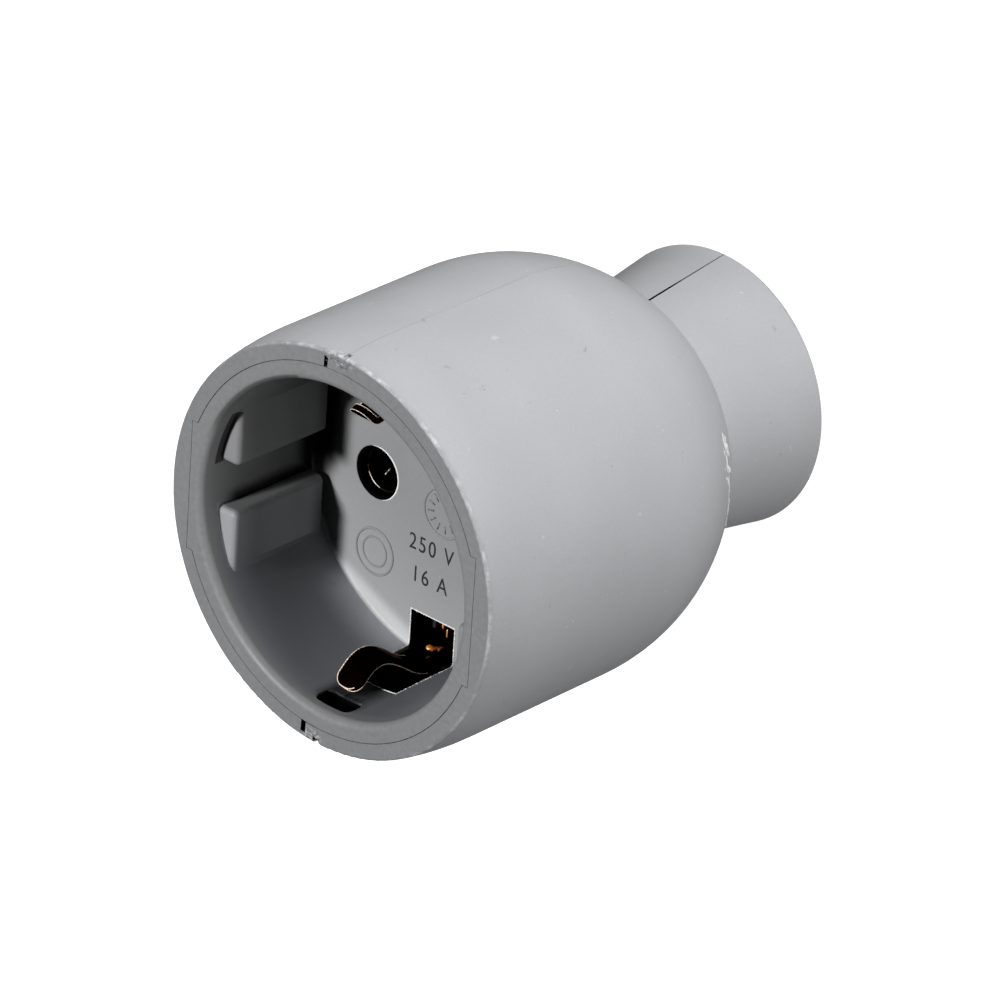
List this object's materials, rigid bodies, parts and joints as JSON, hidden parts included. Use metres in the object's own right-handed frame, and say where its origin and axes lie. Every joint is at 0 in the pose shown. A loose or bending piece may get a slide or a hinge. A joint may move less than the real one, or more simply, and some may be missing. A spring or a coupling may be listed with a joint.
{
  "type": "inline socket connector",
  "caption": "Round grey inline mains socket with a recessed well, pin holes, side earth springs, guide ribs and a flared cord neck, for joining a flexible lead to a plug.",
  "frame": {"origin": "centre of the neck's end face, which is the lowest plane of the part", "axes": "+Z along the axis from the cord neck to the mouth of the well; +X through the two pin holes; +Y through the two earth springs"},
  "size_m": [0.0486, 0.0486, 0.062],
  "materials": {
    "housing": "fine matt moulded grey",
    "cup": "fine matt moulded grey",
    "base_plastic": "matt moulded dark grey",
    "earth_metal": "dark tarnished copper alloy strip",
    "contact_brass": "bright turned brass",
    "steel": "zinc plated"
  },
  "bodies": {
    "root": {"shell_right": "housing", "shell_left": "housing", "socket_cup": "cup", "earth_bracket": "earth_metal", "contact_base": "base_plastic", "live_contact": "contact_brass", "neutral_contact": "contact_brass", "live_sleeve_spring": "steel", "neutral_sleeve_spring": "steel", "live_terminal": "contact_brass", "neutral_terminal": "contact_brass", "earth_terminal": "contact_brass", "terminal_screws": "steel", "base_screws": "steel", "housing_screws": "steel", "housing_nuts": "steel", "cord_clamp_bar": "base_plastic", "cord_clamp_screws": "steel"}
  },
  "joints": []
}
